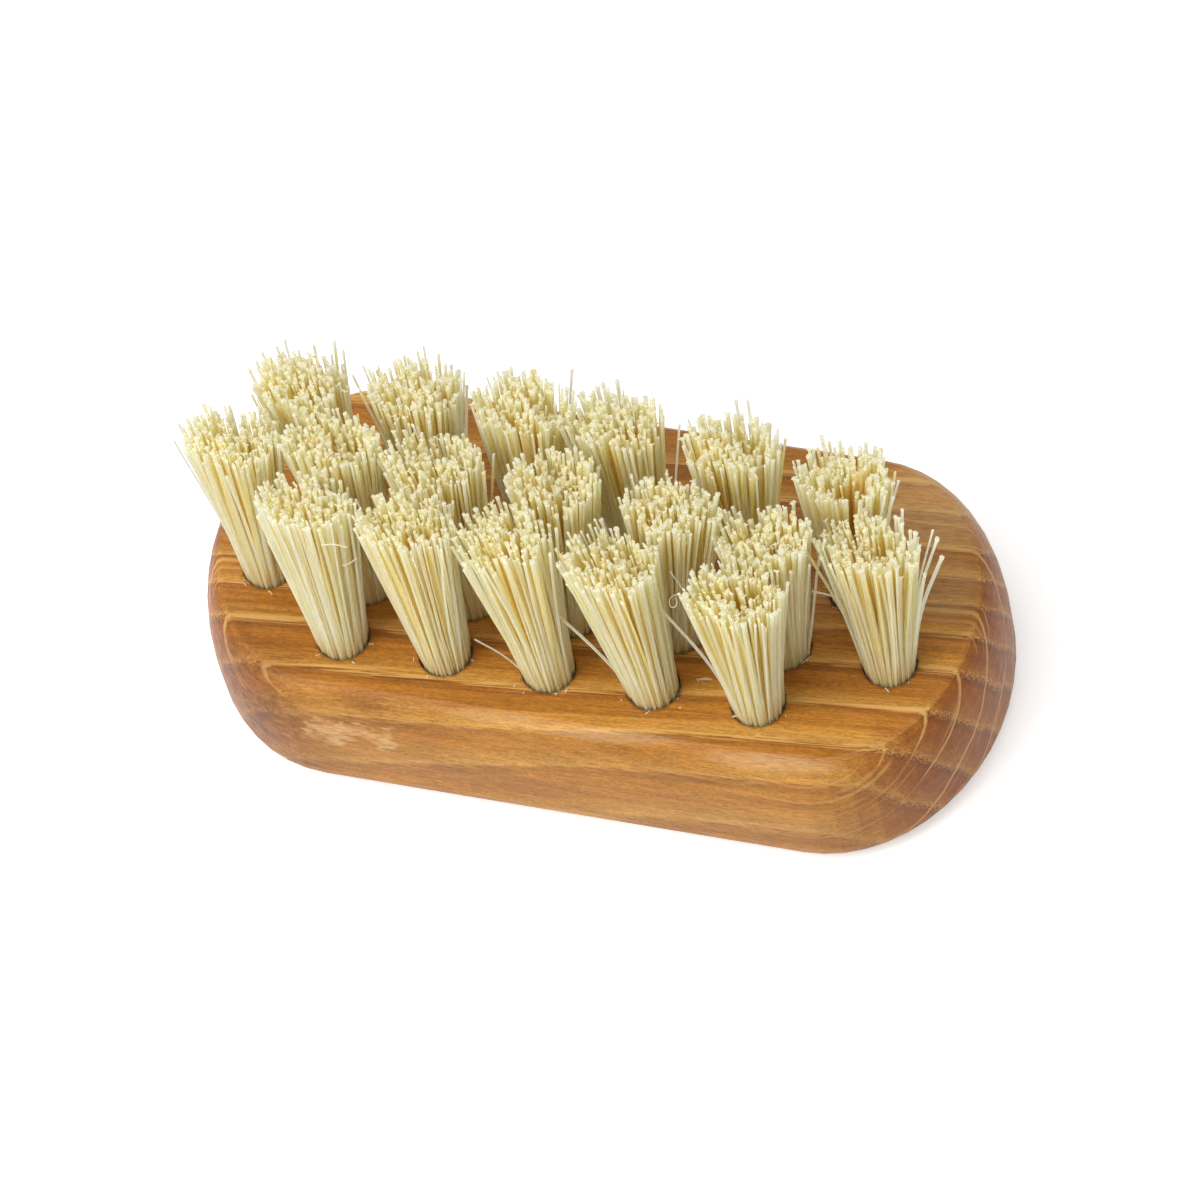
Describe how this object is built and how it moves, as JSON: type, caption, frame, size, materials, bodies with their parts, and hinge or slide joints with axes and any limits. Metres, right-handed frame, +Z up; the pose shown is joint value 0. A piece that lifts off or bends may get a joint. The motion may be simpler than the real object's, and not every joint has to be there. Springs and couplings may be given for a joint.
{
  "type": "nail brush",
  "caption": "Hand nail brush: a rounded hardwood block lying on its back, with thick tufts of plant fibre folded over wire anchors in blind bores.",
  "frame": {"origin": "centre of the block's resting face", "axes": "+X along the block, +Y towards the bare long side, +Z up out of the bristle face"},
  "size_m": [0.095, 0.0464, 0.0458],
  "materials": {
    "wood": "oiled hardwood, satin, grain along the block",
    "fibre": "dry plant fibre, cut ends paler",
    "wire": "zinc plated flat wire"
  },
  "bodies": {
    "root": {"wood_block": "wood", "tuft_front_1": "fibre", "tuft_front_2": "fibre", "tuft_front_3": "fibre", "tuft_front_4": "fibre", "tuft_front_5": "fibre", "tuft_middle_1": "fibre", "tuft_middle_2": "fibre", "tuft_middle_3": "fibre", "tuft_middle_4": "fibre", "tuft_middle_5": "fibre", "tuft_middle_6": "fibre", "tuft_middle_7": "fibre", "tuft_back_1": "fibre", "tuft_back_2": "fibre", "tuft_back_3": "fibre", "tuft_back_4": "fibre", "tuft_back_5": "fibre", "tuft_back_6": "fibre", "anchor_front_1": "wire", "anchor_front_2": "wire", "anchor_front_3": "wire", "anchor_front_4": "wire", "anchor_front_5": "wire", "anchor_middle_1": "wire", "anchor_middle_2": "wire", "anchor_middle_3": "wire", "anchor_middle_4": "wire", "anchor_middle_5": "wire", "anchor_middle_6": "wire", "anchor_middle_7": "wire", "anchor_back_1": "wire", "anchor_back_2": "wire", "anchor_back_3": "wire", "anchor_back_4": "wire", "anchor_back_5": "wire", "anchor_back_6": "wire"}
  },
  "joints": []
}
